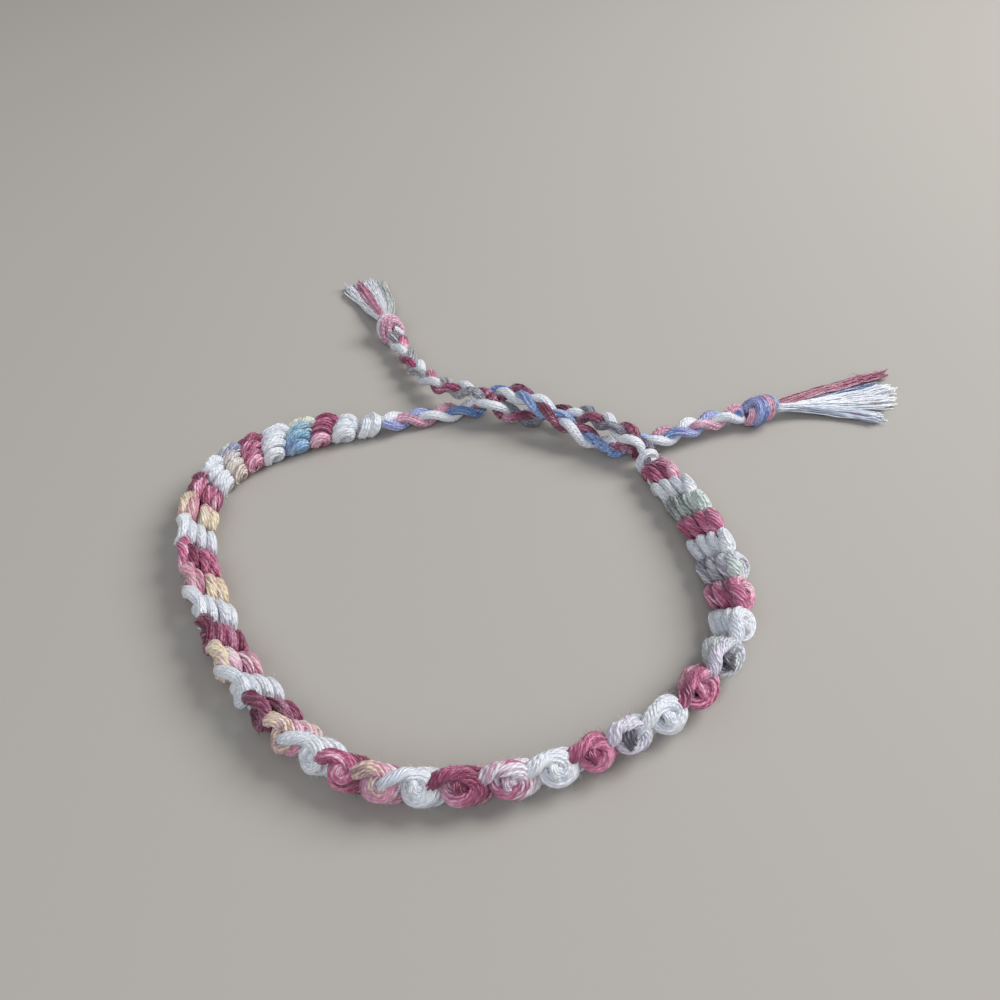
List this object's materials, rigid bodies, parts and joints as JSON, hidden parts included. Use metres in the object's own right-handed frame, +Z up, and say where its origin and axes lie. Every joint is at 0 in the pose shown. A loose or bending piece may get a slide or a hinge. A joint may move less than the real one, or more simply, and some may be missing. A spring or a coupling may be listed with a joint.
{
  "type": "friendship bracelet",
  "caption": "Knotted thread bracelet in white, rose and blended colours, lying as a loop with its braided ties half knotted and their ends frayed.",
  "frame": {"origin": "on the surface that the bracelet lies on, under the middle of its bounding box", "axes": "+Z up, +Y towards the back, where the braided ties cross, +X to the right, so the left tie's fringe points along +X"},
  "size_m": [0.0972, 0.1042, 0.0055],
  "materials": {
    "knotted_threads": "soft cotton, rows in turn white, rose and blended",
    "white_thread": "soft stranded cotton, slight sheen",
    "rose_thread": "soft stranded cotton, slight sheen",
    "blended_thread": "soft stranded cotton whose colour changes along its length",
    "fringe_threads": "loose cotton strands"
  },
  "bodies": {
    "root": {"knotted_band": "knotted_threads", "start_knot": "white_thread", "end_knot": "white_thread", "left_tie_white": "white_thread", "left_tie_rose": "rose_thread", "left_tie_blend": "blended_thread", "right_tie_white": "white_thread", "right_tie_rose": "rose_thread", "right_tie_blend": "blended_thread", "left_tie_knot": "blended_thread", "right_tie_knot": "rose_thread", "left_tie_fringe": "fringe_threads", "right_tie_fringe": "fringe_threads"}
  },
  "joints": []
}
